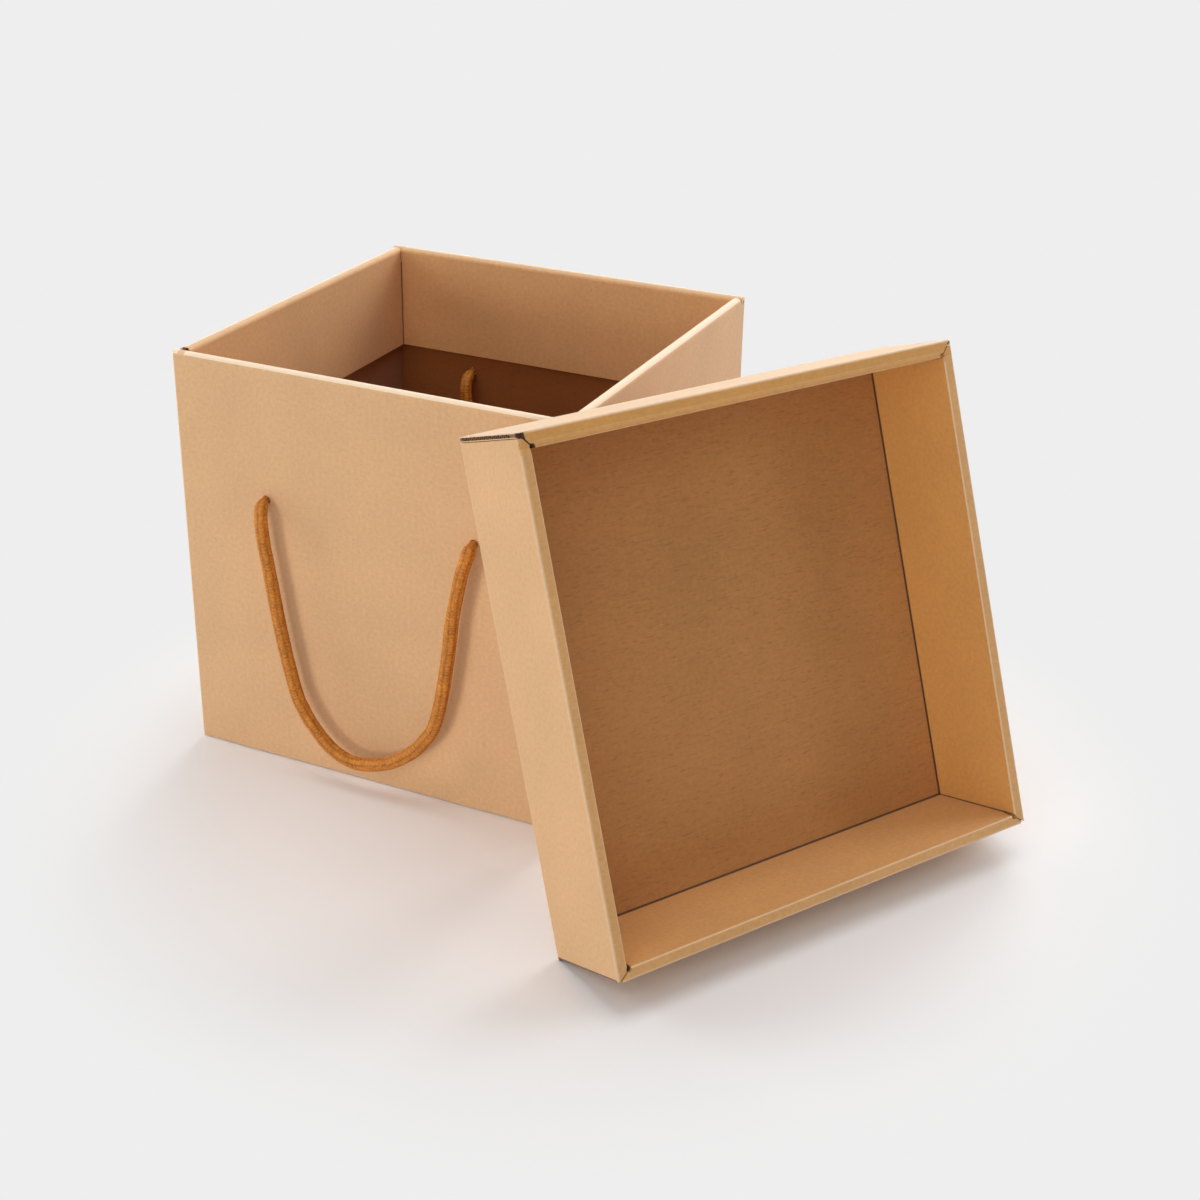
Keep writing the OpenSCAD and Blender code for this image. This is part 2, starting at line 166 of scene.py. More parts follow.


# Boxes in each board's own millimetres, as low and high corners: the dark ones where the fluting
# shows or where shade is painted into joints, gaps and holes, and the plain ones where painted shade
# leaves a fold hardly paler than its panels.
BOX_FLUTES_AND_SHADE = [
    # Open flutes in the front ends of the side rims.
    *both_sides((1.5, 5.3, 197.0), (4.2, 9.4, 199.5), BOX_SIZE[0]),
    # Painted shade in the gaps between the turned-in flaps in the front and in the back corners.
    *both_sides((4.9, 5.1, FLAP_FOOT), (5.5, 5.7, 192.0), BOX_SIZE[0]),
    *both_sides((4.9, 194.3, FLAP_FOOT), (5.5, 194.9, 192.0), BOX_SIZE[0]),
]
BOX_SHADED_FOLDS = [
    # Painted shade on the inner parts of the left and of the back rim.
    ((2.9, -1.0, 190.0), (6.5, 201.0, 201.0)),
    ((-1.0, 193.5, 190.0), (201.0, 197.1, 201.0)),
]
LID_FLUTES_AND_SHADE = [
    # Cut ends of the top wall, and a dark band along the bottom edge, partly the boards' cut ends and
    # partly painted shade of the gap above the floor.
    *both_sides((-0.1, 216.22, 1.0), (3.2, 217.58, 47.9), LID_SIZE[0]),
    *both_sides((-0.1, -0.1, 0.8), (2.4, 1.4, 46.8), LID_SIZE[0]),
    # Painted shade along the joints between the plate and the feet of the side, bottom and top panels.
    *both_sides((5.0, 5.0, 2.0), (8.5, 211.0, 3.0), LID_SIZE[0]),
    ((5.0, 5.0, 2.0), (213.0, 10.0, 3.2)),
    ((5.0, 210.1, 2.0), (213.0, 213.0, 3.0)),
    # Painted shade in the gap before the top strip and in the relief holes in the top left and bottom
    # left corners.
    ((0.3, 212.9, 46.2), (4.6, 217.7, 47.9)),
    ((4.2, 210.2, 41.5), (7.2, 213.2, 47.9)),
    ((4.2, 2.8, 41.5), (7.2, 5.8, 46.4)),
]
LID_SHADED_FOLDS = [
    # Painted shade on the inner fold of the top rim, under its overhang.
    ((-1.0, 209.0, 40.0), (219.0, 213.5, 49.0)),
]


def linear(code):
    """Linear RGBA of an sRGB hex colour: c / 12.92 below 0.04045, else ((c + 0.055) / 1.055) ** 2.4."""
    parts = [int(code[i:i + 2], 16) / 255 for i in (1, 3, 5)]
    return tuple(c / 12.92 if c <= 0.04045 else ((c + 0.055) / 1.055) ** 2.4 for c in parts) + (1.0,)


def add(tree, kind, inputs=None, **settings):
    """Adds one node. inputs gives each socket, by name or number, a value, another node's output, or
    another node, which stands for its first output."""
    node = tree.nodes.new(kind)
    for key, value in settings.items():
        setattr(node, key, value)
    for key, value in (inputs or {}).items():
        if isinstance(value, bpy.types.Node):
            value = value.outputs[0]
        if isinstance(value, bpy.types.NodeSocket):
            tree.links.new(value, node.inputs[key])
        else:
            node.inputs[key].default_value = value
    return node


def empty_material(name):
    """A new material with nodes and nothing in its tree, and that tree."""
    material = bpy.data.materials.new(name)
    material.use_nodes = True
    material.node_tree.nodes.clear()
    return material, material.node_tree


class BoardSettings(bpy.types.PropertyGroup):
    """Colours and pattern sizes of the corrugated board."""

    outer: bpy.props.FloatVectorProperty(
        name="Box outside", description="Kraft paper on the outside of the box",
        subtype="COLOR", size=4, min=0, max=1, default=linear("#DAAE7F"))
    # The flaps' colour is the outside paper drawn brighter and warmer: painted bounce light inside the box.
    flap: bpy.props.FloatVectorProperty(
        name="Box flaps", description="The same paper on the flaps turned into the box",
        subtype="COLOR", size=4, min=0, max=1, default=linear("#E1AC74"))
    inner: bpy.props.FloatVectorProperty(
        name="Box inside", description="Kraft paper on the inside of the box",
        subtype="COLOR", size=4, min=0, max=1, default=linear("#955820"))
    lid_outer: bpy.props.FloatVectorProperty(
        name="Lid outside", description="Kraft paper on the outside of the lid",
        subtype="COLOR", size=4, min=0, max=1, default=linear("#D5A875"))
    plate: bpy.props.FloatVectorProperty(
        name="Lid plate", description="Kraft paper on the inside of the lid's plate",
        subtype="COLOR", size=4, min=0, max=1, default=linear("#C3884A"))
    # The turned-in panels are the lid's outer liner drawn more orange and darker: painted bounce light and
    # shade.
    turned_in_bounce_and_shade: bpy.props.FloatVectorProperty(
        name="Lid turned in", description="Kraft paper on the lid's turned-in panels",
        subtype="COLOR", size=4, min=0, max=1, default=linear("#D0964C"))
    # The fold colour is partly stretched paper and partly a painted highlight where light catches the folds
    # and rim tops.
    fold: bpy.props.FloatVectorProperty(
        name="Fold", description="Stretched paper along the folds",
        subtype="COLOR", size=4, min=0, max=1, default=linear("#FBE8CE"))
    fleck: bpy.props.FloatVectorProperty(
        name="Fleck", description="Dark fibres and bark specks in the pulp",
        subtype="COLOR", size=4, min=0, max=1, default=linear("#7A4E28"))
    # Fluting paper's colour, also used as painted shade in joints, gaps and holes.
    core: bpy.props.FloatVectorProperty(
        name="Fluting", description="Fluting paper between the liners, seen at the cut ends",
        subtype="COLOR", size=4, min=0, max=1, default=linear("#5A3820"))
    flute_pitch: bpy.props.FloatProperty(
        name="Flute pitch", description="Distance from one flute to the next",
        subtype="DISTANCE", unit="LENGTH", default=3.3 * MM, min=1 * MM, max=10 * MM)


class RopeSettings(bpy.types.PropertyGroup):
    """Sizes and colours of the knitted rope."""

    diameter: bpy.props.FloatProperty(
        name="Diameter", description="Diameter over the stitches",
        subtype="DISTANCE", unit="LENGTH", default=6.5 * MM, min=3 * MM, max=12 * MM)
    stitch: bpy.props.FloatProperty(
        name="Stitch", description="Length of one stitch along the rope",
        subtype="DISTANCE", unit="LENGTH", default=1.5 * MM, min=0.5 * MM, max=4 * MM)
    relief: bpy.props.FloatProperty(
        name="Relief", description="Depth of the grooves between stitches",
        subtype="DISTANCE", unit="LENGTH", default=0.5 * MM, min=0, max=1 * MM)
    wales: bpy.props.IntProperty(
        name="Wales", description="Columns of stitches round the rope", default=6, min=3, max=24)
    yarn: bpy.props.FloatVectorProperty(
        name="Yarn", description="Golden brown polyester yarn",
        subtype="COLOR", size=4, min=0, max=1, default=linear("#D68824"))
    # The groove colour is painted shade in the hollows between the stitches.
    groove: bpy.props.FloatVectorProperty(
        name="Groove", description="Yarn down between the stitches",
        subtype="COLOR", size=4, min=0, max=1, default=linear("#86440B"))


class StageSettings(bpy.types.PropertyGroup):
    """Camera, lamps and floor."""

    lens: bpy.props.FloatProperty(
        name="Lens", description="Focal length on a 36 mm sensor", subtype="DISTANCE_CAMERA",
        default=56.224, min=10, max=300)
    backdrop: bpy.props.FloatVectorProperty(
        name="Backdrop", description="Pale grey of the background, and of the floor away from the box",
        subtype="COLOR", size=4, min=0, max=1, default=linear("#EEEEEE"))
    paint: bpy.props.FloatVectorProperty(
        name="Floor", description="Paint of the floor round the box, where the shadows fall",
        subtype="COLOR", size=4, min=0, max=1, default=linear("#F4F2F2"))
    ambient: bpy.props.FloatProperty(
        name="Ambient", description="Even light from all round", default=0.02, min=0, max=4)
    key_power: bpy.props.FloatProperty(
        name="Key", description="Small low softbox in front, which draws the rope's shadow",
        subtype="POWER", unit="POWER", default=8.1, min=0, max=200)
    front_power: bpy.props.FloatProperty(
        name="Front", description="Large softbox above the camera",
        subtype="POWER", unit="POWER", default=8.1, min=0, max=200)
    left_power: bpy.props.FloatProperty(
        name="Left", description="Softbox on the left", subtype="POWER", unit="POWER",
        default=11.0, min=0, max=200)
    right_power: bpy.props.FloatProperty(
        name="Right", description="Softbox on the right", subtype="POWER", unit="POWER",
        default=10.6, min=0, max=200)
    back_power: bpy.props.FloatProperty(
        name="Back", description="Softbox behind and above", subtype="POWER", unit="POWER",
        default=17.6, min=0, max=200)
    top_power: bpy.props.FloatProperty(
        name="Top", description="Softbox overhead", subtype="POWER", unit="POWER",
        default=11.9, min=0, max=200)


def lid_turn():
    """Rotation that takes the lid's own directions to the frame's: a tip about x, then a turn about z."""
    tip = Matrix.Rotation(math.pi / 2 - LID_LEAN, 3, "X")
    return Matrix.Rotation(LID_HEADING, 3, "Z") @ tip


def inside_box(tree, values, low, high):
    """A mask that is 1 where each value lies between its low and its high bound."""
    mask = 1.0
    for value, a, b in zip(values, low, high):
        near = add(tree, "ShaderNodeMath", {0: value, 1: (a + b) / 2, 2: (b - a) / 2}, operation="COMPARE")
        mask = add(tree, "ShaderNodeMath", {0: near, 1: mask}, operation="MULTIPLY")
    return mask


def shade_noise(tree, place, patch, detail, share):
    """A factor that strays from 1 by a share, up and down, in patches of a width in millimetres. The
    noise lies mostly between 0.3 and 0.7, so that span is spread over the factor."""
    noise = add(tree, "ShaderNodeTexNoise", {"Vector": place, "Scale": 1 / patch, "Detail": detail})
    return add(tree, "ShaderNodeMapRange", {
        "Value": noise, "From Min": 0.3, "From Max": 0.7, "To Min": 1 - share, "To Max": 1 + share})


def fibre_noise(tree, place, along, across, detail, span, strength):
    """Noise drawn out along x, so many to a millimetre along and across, which goes from the first
    strength to the second over a span of the noise."""
    drawn_out = add(tree, "ShaderNodeMapping", {"Vector": place, "Scale": (along, across, across)})
    noise = add(tree, "ShaderNodeTexNoise", {"Vector": drawn_out, "Scale": 1.0, "Detail": detail})
    return add(tree, "ShaderNodeMapRange", {
        "Value": noise, "From Min": span[0], "From Max": span[1],
        "To Min": strength[0], "To Max": strength[1]})


def face_depths(tree, place, size):
    """Depths below a board's outside in x and in z, and the lesser and the greater of those in x and
    y. A depth is measured from the nearer of two opposite faces: half the size less the distance
    from the middle.
    """
    middle = Vector(size) / 2
    from_middle = add(tree, "ShaderNodeVectorMath", {0: place, 1: middle}, operation="SUBTRACT")
    from_middle = add(tree, "ShaderNodeVectorMath", {0: from_middle}, operation="ABSOLUTE")
    depth = add(tree, "ShaderNodeVectorMath", {0: middle, 1: from_middle}, operation="SUBTRACT")
    dx, dy, dz = add(tree, "ShaderNodeSeparateXYZ", {0: depth}).outputs
    low = add(tree, "ShaderNodeMath", {0: dx, 1: dy}, operation="MINIMUM")
    high = add(tree, "ShaderNodeMath", {0: dx, 1: dy}, operation="MAXIMUM")
    return dx, dz, low, high


def fold_stretch_and_highlight(tree, xyz, dz, low, high, size, rim, pale, plain):
    """How much paler the paper is at folds and rim tops: stretched paper and a painted highlight.

    On an outer fold two of the three depths are small, so the middle one is. An inner fold lies at
    the rim's width from the side, and the rim's top between the two.
    """
    z = xyz[2]
    edge = add(tree, "ShaderNodeMath", {0: high, 1: dz}, operation="MINIMUM")
    edge = add(tree, "ShaderNodeMath", {0: low, 1: edge}, operation="MAXIMUM")
    fold = add(tree, "ShaderNodeMapRange", {
        "Value": edge, "From Min": 1.2, "From Max": 0.4, "To Min": 0.0, "To Max": pale[0]},
        interpolation_type="SMOOTHSTEP")
    edge = add(tree, "ShaderNodeMath", {0: low, 1: rim}, operation="SUBTRACT")
    edge = add(tree, "ShaderNodeMath", {0: edge}, operation="ABSOLUTE")
    edge = add(tree, "ShaderNodeMath", {0: edge, 1: dz}, operation="MAXIMUM")
    inner_fold = add(tree, "ShaderNodeMapRange", {
        "Value": edge, "From Min": 0.8, "From Max": 0.3, "To Min": 0.0, "To Max": pale[2]},
        interpolation_type="SMOOTHSTEP")
    open_side = add(tree, "ShaderNodeMath", {0: z, 1: size[2] / 2}, operation="GREATER_THAN")
    inner_fold = add(tree, "ShaderNodeMath", {0: inner_fold, 1: open_side}, operation="MULTIPLY")
    # Painted highlight: the rim's top is drawn paler.
    rim_top = inside_box(tree, (low, z), (-1.0, size[2] - 1.2), (rim + 0.4, size[2] + 1))
    rim_top = add(tree, "ShaderNodeMath", {0: rim_top, 1: pale[1]}, operation="MULTIPLY")
    for part in (inner_fold, rim_top):
        fold = add(tree, "ShaderNodeMath", {0: fold, 1: part}, operation="MAXIMUM")
    # Painted shade: inside the plain boxes a fold keeps little of its highlight.
    for corners in plain:
        kept = inside_box(tree, xyz, *corners)
        kept = add(tree, "ShaderNodeMath", {0: kept, 1: -SHADED_FOLD_LOSS, 2: 1.0}, operation="MULTIPLY_ADD")
        fold = add(tree, "ShaderNodeMath", {0: fold, 1: kept}, operation="MULTIPLY")
    return fold


def paper_pattern(tree, settings, paper, inside, place, along):
    """The paper with its clouds, mottle and fibres, and the wave of the flutes under it: a sine of
    the length along the board, with one turn for each pitch."""
    # Clouds of 40 mm in the paper's shade and mottle of 1.8 mm, drawn at 4 and 6 per cent.
    clouds = shade_noise(tree, place, 40, 2.0, 0.04)
    mottle = shade_noise(tree, place, 1.8, 3.0, 0.06)
    shade = add(tree, "ShaderNodeMath", {0: clouds, 1: mottle}, operation="MULTIPLY")

    # Lines of the flutes, one pitch apart, at half a per cent.
    turns = math.tau * MM / settings.flute_pitch
    turns = add(tree, "ShaderNodeMath", {0: along, 1: turns}, operation="MULTIPLY")
    flutes = add(tree, "ShaderNodeMath", {0: turns}, operation="SINE")
    lines = add(tree, "ShaderNodeMath", {0: flutes, 1: 0.005, 2: 1.0}, operation="MULTIPLY_ADD")
    shade = add(tree, "ShaderNodeMath", {0: shade, 1: lines}, operation="MULTIPLY")
    paper = add(tree, "ShaderNodeVectorMath", {0: paper, "Scale": shade}, operation="SCALE")

    # Streaks about 10 mm long and 1.2 mm wide along the machine's run, at 3 per cent on the inner
    # liner.
    streaks = fibre_noise(tree, place, 0.1, 0.8, 2.0, (0.35, 0.65), (-0.03, 0.03))
    streaks = add(tree, "ShaderNodeMath", {0: streaks, 1: inside, 2: 1.0}, operation="MULTIPLY_ADD")
    paper = add(tree, "ShaderNodeVectorMath", {0: paper, "Scale": streaks}, operation="SCALE")

    # Fibres about 3 mm long and 0.5 mm wide, lying across the flutes.
    fibres = fibre_noise(tree, place, 0.32, 1.9, 1.0, (0.6, 0.8), (0.0, 0.2))
    paper = add(tree, "ShaderNodeMix", {0: fibres, 6: paper, 7: settings.fleck}, data_type="RGBA").outputs[2]

    # Short dark dashes in the coarser inner liner, about 5 mm long and 0.8 mm wide.
    dashes = fibre_noise(tree, place, 0.22, 1.25, 2.0, (0.58, 0.72), (0.0, 0.28))
    dashes = add(tree, "ShaderNodeMath", {0: dashes, 1: inside}, operation="MULTIPLY")
    paper = add(tree, "ShaderNodeMix", {0: dashes, 6: paper, 7: settings.core}, data_type="RGBA").outputs[2]
    return paper, flutes


def panel_joint_shade(tree, dx, y, z, size, rim):
    """A mask of painted shade along the line where the turned-in panels of the lid's bottom and side
    walls meet. Each leans inward, so its face lies at the rim's width plus its lean times the way down
    to its foot."""
    way_down = add(tree, "ShaderNodeMapRange", {
        "Value": z, "From Min": size[2], "From Max": BOARD, "To Min": 0.0, "To Max": 1.0})
    past_faces = []
    for depth, lean in ((dx, SIDE_LEAN), (y, BOTTOM_LEAN)):
        face = add(tree, "ShaderNodeMath", {0: way_down, 1: lean, 2: rim}, operation="MULTIPLY_ADD")
        past_faces.append(add(tree, "ShaderNodeMath", {0: depth, 1: face}, operation="SUBTRACT"))
    return inside_box(tree, (*past_faces, z), (-0.5, -0.5, BOARD), (0.45, 0.45, size[2] - 1.5))


def board_material(name, settings, size, rim, inner, papers, pale, plain, dark, turn=None,
                   corner=(0, 0, 0)):
    """Corrugated board lined with kraft paper: unbleached softwood pulp, machine made and glued to a
    fluted middle layer. It gives a matte tan face with soft clouds, fibres lying across the flutes,
    faint lines where the liner dips between flutes, and paler folds, partly stretched paper and
    partly painted highlight, with painted shade in joints, gaps and holes.

    Patterns read Object coordinates in millimetres, turned into the piece's own directions. inner is
    the depth past which the inner liner shows and the height below which it does. papers are those
    of the outside, the inside and the turned-in panels; the turned-in paper carries painted bounce
    light. pale says how pale the outer folds, the rims' tops and their inner folds are, partly
    stretched paper and partly painted highlight. plain are boxes where painted shade takes back most
    of that highlight, and dark are boxes of flute ends and of painted shade, all in the piece's own
    directions. A turn is given for the lid, whose rims and leaning panels get their own colours, with
    painted shade on the rim strips and along the panels' joints and a painted sheen on the top wall.
    """
    material, tree = empty_material(name)
    back = (turn or Matrix.Identity(3)).transposed()
    place = add(tree, "ShaderNodeMapping", {
        "Vector": add(tree, "ShaderNodeTexCoord").outputs["Object"],
        "Scale": (1 / MM,) * 3,
        "Rotation": back.to_euler(),
        "Location": -(back @ Vector(corner)),
    })
    x, y, z = add(tree, "ShaderNodeSeparateXYZ", {0: place}).outputs
    dx, dz, low, high = face_depths(tree, place, size)
    fold = fold_stretch_and_highlight(tree, (x, y, z), dz, low, high, size, rim, pale, plain)

    # The inner liner shows inside the outer panels and below the turned-in ones.
    inside = inside_box(tree, (low, z), (inner[0], BOARD / 2), (size[0], inner[1]))
    # The turned-in panels take their own paper, which carries painted bounce light and shade.
    turned_in_bounce_and_shade = inside_box(tree, (low, z), (rim - 0.3, inner[1]), (size[0], size[2] - 0.6))
    paper = add(tree, "ShaderNodeMix", {0: inside, 6: papers[0], 7: papers[1]}, data_type="RGBA").outputs[2]
    if turn is not None:
        # Painted shade: the strips on the rims take on the turned-in panels' colour, the top one all of it.
        top_strip_shade = inside_box(tree, (y, z), (size[1] - 6.6, size[2] - 1), (size[1] - 0.9, size[2] + 1))
        rim_strip_shade = inside_box(tree, (low, z), (0.9, size[2] - 1), (rim - 0.4, size[2] + 1))
        rim_strip_shade = add(tree, "ShaderNodeMath", {0: rim_strip_shade, 1: STRIP_PAINTED_SHADE}, operation="MULTIPLY")
        for strip in (top_strip_shade, rim_strip_shade):
            turned_in_bounce_and_shade = add(tree, "ShaderNodeMath", {0: turned_in_bounce_and_shade, 1: strip}, operation="MAXIMUM")
        # Painted sheen: the outer face of the top wall is drawn a little paler.
        top_face = add(tree, "ShaderNodeMath", {0: y, 1: size[1] - 0.6}, operation="GREATER_THAN")
        top_face = add(tree, "ShaderNodeMath", {0: top_face, 1: TOP_WALL_PAINTED_SHEEN}, operation="MULTIPLY")
        fold = add(tree, "ShaderNodeMath", {0: fold, 1: top_face}, operation="MAXIMUM")
    paper = add(tree, "ShaderNodeMix", {0: turned_in_bounce_and_shade, 6: paper, 7: papers[2]}, data_type="RGBA").outputs[2]

    # The flutes stand up in the box's walls, so their lines follow both x and y there.
    along = add(tree, "ShaderNodeMath", {0: x, 1: y if turn is None else 0.0}, operation="ADD")
    paper, flutes = paper_pattern(tree, settings, paper, inside, place, along)
    paper = add(tree, "ShaderNodeMix", {0: fold, 6: paper, 7: settings.fold}, data_type="RGBA").outputs[2]

    # The dark boxes and the panels' joint take the fluting's colour: real flute ends, and painted shade in
    # joints, gaps and holes.
    masks = [inside_box(tree, (x, y, z), *corners) for corners in dark]
    if turn is not None:
        masks.append(panel_joint_shade(tree, dx, y, z, size, rim))
    for mask in masks:
        mask = add(tree, "ShaderNodeMath", {0: mask, 1: DARK_AND_SHADE_STRENGTH}, operation="MULTIPLY")
        paper = add(tree, "ShaderNodeMix", {0: mask, 6: paper, 7: settings.core}, data_type="RGBA").outputs[2]

    # Relief of the pulp, 0.02 mm deep, drawn over grains of 0.6 mm, with a trace of the flutes.
    pulp = add(tree, "ShaderNodeTexNoise", {"Vector": place, "Scale": 1 / 0.6, "Detail": 2.0})
    height = add(tree, "ShaderNodeMath", {0: flutes, 1: 0.1, 2: pulp}, operation="MULTIPLY_ADD")
    bump = add(tree, "ShaderNodeBump", {"Height": height, "Distance": 0.02 * MM, "Strength": 1.0})
    shader = add(tree, "ShaderNodeBsdfPrincipled", {
        "Base Color": paper, "Roughness": 0.75, "IOR": 1.45, "Sheen Weight": 0.25, "Sheen Roughness": 0.5,
        "Normal": bump})
    add(tree, "ShaderNodeOutputMaterial", {"Surface": shader})
    return material


def rope_material(settings):
    """Knitted polyester rope: textured yarn dyed golden brown and knitted into a round tube. The
    stitches catch the light on their crowns, and their grooves take a darker colour, painted shade.
    The stitch attribute holds each point's height, from 0 in a groove to 1 on a crown.
    """
    material, tree = empty_material("Knitted polyester rope, golden brown")
    crown = add(tree, "ShaderNodeAttribute", attribute_name="stitch").outputs["Fac"]
    place = add(tree, "ShaderNodeMapping", {
        "Vector": add(tree, "ShaderNodeTexCoord").outputs["Object"], "Scale": (1 / MM,) * 3})

    # The yarn's level is its stitch height, plus tufts of 1.3 mm where loops stand out unevenly, plus
    # filaments, drawn at 0.5 mm.
    fuzz = add(tree, "ShaderNodeTexNoise", {"Vector": place, "Scale": 1 / 0.5, "Detail": 2.0})
    tufts = add(tree, "ShaderNodeTexNoise", {"Vector": place, "Scale": 1 / 1.3, "Detail": 1.0})
    level = add(tree, "ShaderNodeMath", {0: fuzz, 1: 0.6, 2: -0.3}, operation="MULTIPLY_ADD")
    level = add(tree, "ShaderNodeMath", {0: tufts, 1: 1.5, 2: level}, operation="MULTIPLY_ADD")
    level = add(tree, "ShaderNodeMath", {0: crown, 1: level}, operation="ADD")
    level = add(tree, "ShaderNodeMapRange", {
        "Value": level, "From Min": 0.6, "From Max": 1.9, "To Min": 0.0, "To Max": 1.0})
    # Low stitches take the groove colour: painted shade in the hollows.
    colours = {0: level, 6: settings.groove, 7: settings.yarn}
    yarn = add(tree, "ShaderNodeMix", colours, data_type="RGBA").outputs[2]

    # Shade of the dye, which changes over about 6 mm.
    shade = shade_noise(tree, place, 6, 2.0, 0.1)
    yarn = add(tree, "ShaderNodeVectorMath", {0: yarn, "Scale": shade}, operation="SCALE")
    bump = add(tree, "ShaderNodeBump", {"Height": fuzz, "Distance": 0.1 * MM, "Strength": 1.0})
    shader = add(tree, "ShaderNodeBsdfPrincipled", {
        "Base Color": yarn, "Roughness": 0.65, "IOR": 1.5, "Normal": bump})
    add(tree, "ShaderNodeOutputMaterial", {"Surface": shader})
    return material


def even_route(points, rings):
    """The Catmull-Rom curve through the points, as rings points an equal length apart, and its length.

    Between points b and c with neighbours a and d it is
    (2b + (c - a) t + (2a - 5b + 4c - d) t^2 + (3b - a - 3c + d) t^3) / 2.
    """
    p = np.asarray(points, float)
    p = np.vstack([2 * p[0] - p[1], p, 2 * p[-1] - p[-2]])
    a, b, c, d = (p[i:len(p) - 3 + i, None] for i in range(4))
    t = np.linspace(0, 1, CURVE_STEPS, endpoint=False)[None, :, None]
    line = (2 * b + (c - a) * t + (2 * a - 5 * b + 4 * c - d) * t ** 2 + (3 * b - a - 3 * c + d) * t ** 3) / 2
    line = np.vstack([line.reshape(-1, 3), p[-2]])
    length = np.concatenate([[0], np.cumsum(np.linalg.norm(np.diff(line, axis=0), axis=1))])
    even = np.linspace(0, length[-1], rings)
    return np.column_stack([np.interp(even, length, line[:, k]) for k in range(3)]), length[-1]


def softened(line, reach):
    """The line with each point moved to the weighted mean of those within reach, its ends kept."""
    weight = np.hanning(2 * reach + 3)[1:-1]
    weight /= weight.sum()
    wide = np.vstack([2 * line[0] - line[reach:0:-1], line, 2 * line[-1] - line[-2:-reach - 2:-1]])
    return np.column_stack([np.convolve(wide[:, k], weight, mode="valid") for k in range(3)])


def carried_sides(tangents, first):
    """Two directions across a path at each of its points, carried along it without twist: each is
    the one before, less its part along the path there."""
    sides = np.empty_like(tangents)
    side = np.asarray(first, float)
    for i, tangent in enumerate(tangents):
        side = side - tangent * (side @ tangent)
        side /= np.linalg.norm(side)
        sides[i] = side
    return sides, np.cross(tangents, sides)


def knit(along, angle, settings):
    """Height of the stitches, from 0 to 1, at a length along the rope and an angle round it.

    The angle is cut into wales, which lie side by side with a groove between them. Across each wale
    the ribs bow a little from its middle, follow a cosine along the rope and fade into the grooves.
    The wales wander slowly round the rope, and each one's ribs start at another place and are drawn
    tighter and looser by a sum of sines, so that no two lie quite level.
    """
    # Wales wander by up to a third of their width, in waves of 145 and 38 mm.
    wander = 0.22 * np.sin(along / 23.0) + 0.1 * np.sin(along / 6.1 + 2.0)
    number = angle * settings.wales / math.tau + wander
    across = number % 1.0 - 0.5
    wale_index = np.floor(number) % settings.wales

    # Ribs stray by up to 0.4 of a stitch, in waves of 14 and 6 mm.
    uneven = 0.25 * np.sin(along / 2.3 + 2.4 * wale_index) + 0.16 * np.sin(along / 0.9 + 1.7 * wale_index)
    phase = along / (settings.stitch / MM) + RIB_BOW * np.abs(across) + WALE_SHIFT * wale_index + uneven
    rib = 0.5 + 0.5 * np.cos(math.tau * phase)
    wale = np.cos(math.pi * across) ** CROWN_POWER

    # The ribs are 40 to 100 per cent as deep, in waves of 11 mm.
    fullness = 0.7 + 0.3 * np.sin(along / 1.7 + 4.1 * wale_index)
    return wale * (1 - RIB_DEPTH * fullness * (1 - rib))


def surface_object(name, points, height, material):
    """A closed mesh from a grid of points in millimetres, rings by sides: quads between the rings,
    which close on themselves, and one face on each end. height goes into the stitch attribute."""
    rings, sides = points.shape[:2]
    index = np.arange(rings * sides).reshape(rings, sides)
    beside = np.roll(index, -1, axis=1)
    quads = np.stack([index[:-1], beside[:-1], beside[1:], index[1:]], axis=-1).reshape(-1, 4)
    mesh = bpy.data.meshes.new(name)
    mesh.from_pydata((points.reshape(-1, 3) * MM).tolist(), [],
                     quads.tolist() + [index[0, ::-1].tolist(), index[-1].tolist()])
    stitch = mesh.attributes.new("stitch", "FLOAT", "POINT")
    stitch.data.foreach_set("value", height.ravel().astype(np.float32))
    mesh.polygons.foreach_set("use_smooth", np.ones(len(mesh.polygons), bool))
    mesh.materials.append(material)
    mesh.update()
    piece = bpy.data.objects.new(name, mesh)
    bpy.context.scene.collection.objects.link(piece)
    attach(piece, "root")
    return piece


def rope_surface(settings, turned):
    """Grid of the knitted rope's surface, its stitch heights, its centreline and its length.

    A ring of points stands at each of the centreline's points, at the radius less the relief where
    the stitches are low. turned is 1 for the front rope and -1 for the back one, which is the front
    one turned half round the box.
    """
    line, length = even_route(ROPE_ROUTE, ROPE_RINGS)
    line = softened(line, SOFTEN_REACH) * (turned, turned, 1)
    tangents = np.gradient(line, axis=0)
    tangents /= np.linalg.norm(tangents, axis=1, keepdims=True)
    u, v = carried_sides(tangents, (1, 0, 0))
    angle = np.linspace(0, math.tau, ROPE_SIDES, endpoint=False)[None, :]
    along = np.linspace(0, length, ROPE_RINGS)[:, None]
    height = knit(along, angle, settings)
    from_hole = np.linalg.norm(np.abs(line) - np.abs(ROPE_EXIT), axis=1)[:, None]
    squeeze = np.clip((1 - from_hole / SQUEEZE_REACH) / SQUEEZE_RAMP, 0, 1)
    free = settings.diameter / MM
    diameter = free - (free - SQUEEZED_D) * squeeze
    # Here and there the rope is up to 2.4 per cent slimmer.
    swell = 1 - 0.012 * (1 + np.sin(along / 7.3) * np.sin(along / 3.1 + 1))
    radius = diameter / 2 * swell - settings.relief / MM * (1 - height)
    ring = np.cos(angle)[..., None] * u[:, None] + np.sin(angle)[..., None] * v[:, None]
    return line[:, None] + radius[..., None] * ring, height, line, length


